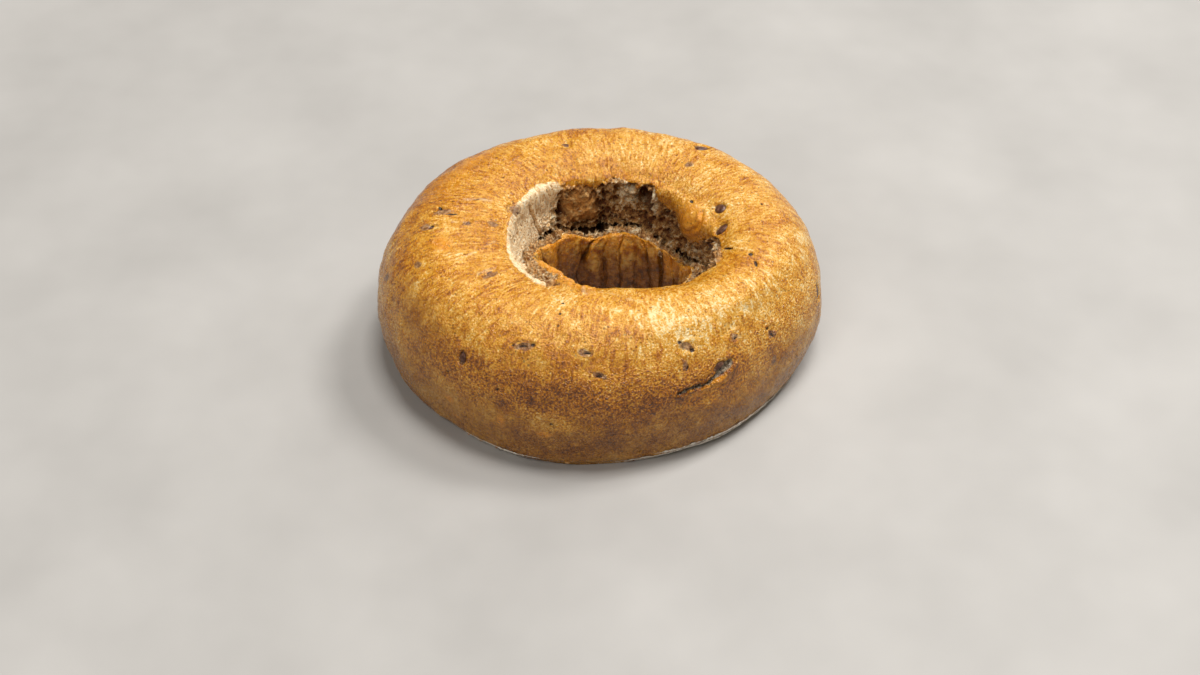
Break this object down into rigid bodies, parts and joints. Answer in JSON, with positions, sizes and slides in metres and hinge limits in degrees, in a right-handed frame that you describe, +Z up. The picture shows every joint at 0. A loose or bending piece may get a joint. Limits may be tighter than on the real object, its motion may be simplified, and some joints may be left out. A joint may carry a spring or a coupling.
{
  "type": "spelt bagel",
  "caption": "Whole baked spelt bagel: an oval ring with a browned, grain-flecked crust, a split torn wall round its hole and a pleated bore below it.",
  "frame": {"origin": "middle of the outline seen from above, on the flat base", "axes": "+Z up from the base through the hole, +X along the longer side of the oval, -Y towards the side that is rounded most and seen in front"},
  "size_m": [0.112, 0.0968, 0.038],
  "materials": {
    "crust": "browned bread crust, satin on top and matt where it is torn"
  },
  "bodies": {
    "root": {"bagel": "crust"}
  },
  "joints": []
}
